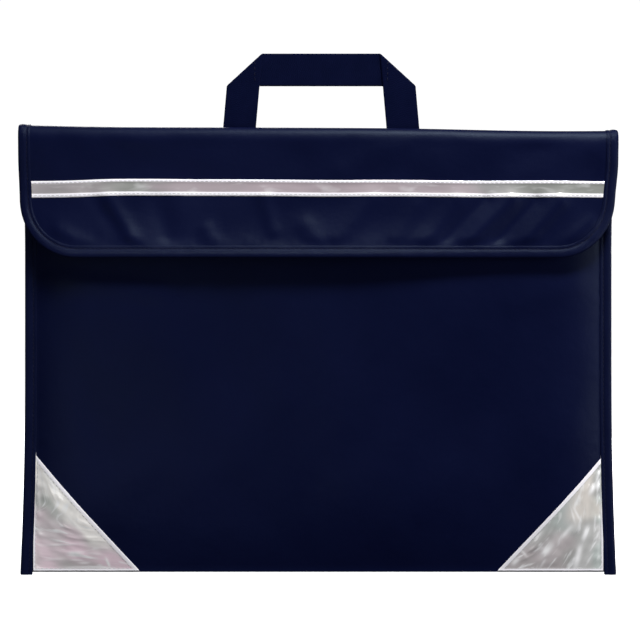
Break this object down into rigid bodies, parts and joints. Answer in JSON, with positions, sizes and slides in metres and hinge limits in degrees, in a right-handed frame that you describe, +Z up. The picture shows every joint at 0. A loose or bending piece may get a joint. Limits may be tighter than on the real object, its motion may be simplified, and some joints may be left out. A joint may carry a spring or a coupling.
{
  "type": "portfolio case",
  "caption": "Flat cloth case for art sheets, with a fold-over flap, bound edges, reflective trim and a folded webbing handle.",
  "frame": {"origin": "middle of the outer box in X and Y, at the lowest point of the side tapes", "axes": "+X across the case, -Y is the front that carries the flap, +Z up towards the handle"},
  "size_m": [0.4548, 0.0182, 0.3971],
  "materials": {
    "coated_cloth": "soft satin, coated",
    "binding_tape": "woven, dull",
    "webbing": "woven, dull",
    "navy_thread": "satin",
    "pale_thread": "satin",
    "hook_and_loop": "fuzzy",
    "reflective_film": "glossy, pearly"
  },
  "bodies": {
    "case": {"back_panel": "coated_cloth", "front_panel": "coated_cloth", "mouth_binding": "binding_tape", "mouth_thread": "navy_thread", "side_binding_left": "binding_tape", "side_binding_right": "binding_tape", "side_thread_left": "navy_thread", "side_thread_right": "navy_thread", "corner_patch_left": "reflective_film", "corner_patch_right": "reflective_film", "patch_thread_left": "pale_thread", "patch_thread_right": "pale_thread", "loop_pad_left": "hook_and_loop", "loop_pad_right": "hook_and_loop", "loop_thread_left": "navy_thread", "loop_thread_right": "navy_thread", "handle_end_left": "webbing", "handle_end_right": "webbing", "handle_end_thread_left": "navy_thread", "handle_end_thread_right": "navy_thread"},
    "top_fold": {"top_fold": "coated_cloth", "fold_binding_left": "binding_tape", "fold_binding_right": "binding_tape"},
    "flap": {"flap_panel": "coated_cloth", "flap_binding": "binding_tape", "flap_thread": "navy_thread", "reflective_strip": "reflective_film", "strip_thread": "pale_thread", "hook_pad_left": "hook_and_loop", "hook_pad_right": "hook_and_loop", "hook_thread_left": "navy_thread", "hook_thread_right": "navy_thread"},
    "handle": {"handle_webbing": "webbing", "handle_fold_thread_left": "navy_thread", "handle_fold_thread_right": "navy_thread"}
  },
  "joints": [
    {"name": "back_crease", "type": "hinge", "parent": "case", "child": "top_fold", "pos_m": [0, 0.00412, 0.33882], "axis": [-1, 0, 0], "range_deg": [0, 85]},
    {"name": "front_crease", "type": "hinge", "parent": "top_fold", "child": "flap", "pos_m": [0, -0.00702, 0.33882], "axis": [-1, 0, 0], "range_deg": [0, 85]},
    {"name": "handle_swing", "type": "hinge", "parent": "case", "child": "handle", "pos_m": [0.0022, 0.0078, 0.324], "axis": [-1, 0, 0], "range_deg": [0, 170]}
  ],
  "couplings": [
    {"joint": "back_crease", "follows": "front_crease", "ratio": 1}
  ]
}
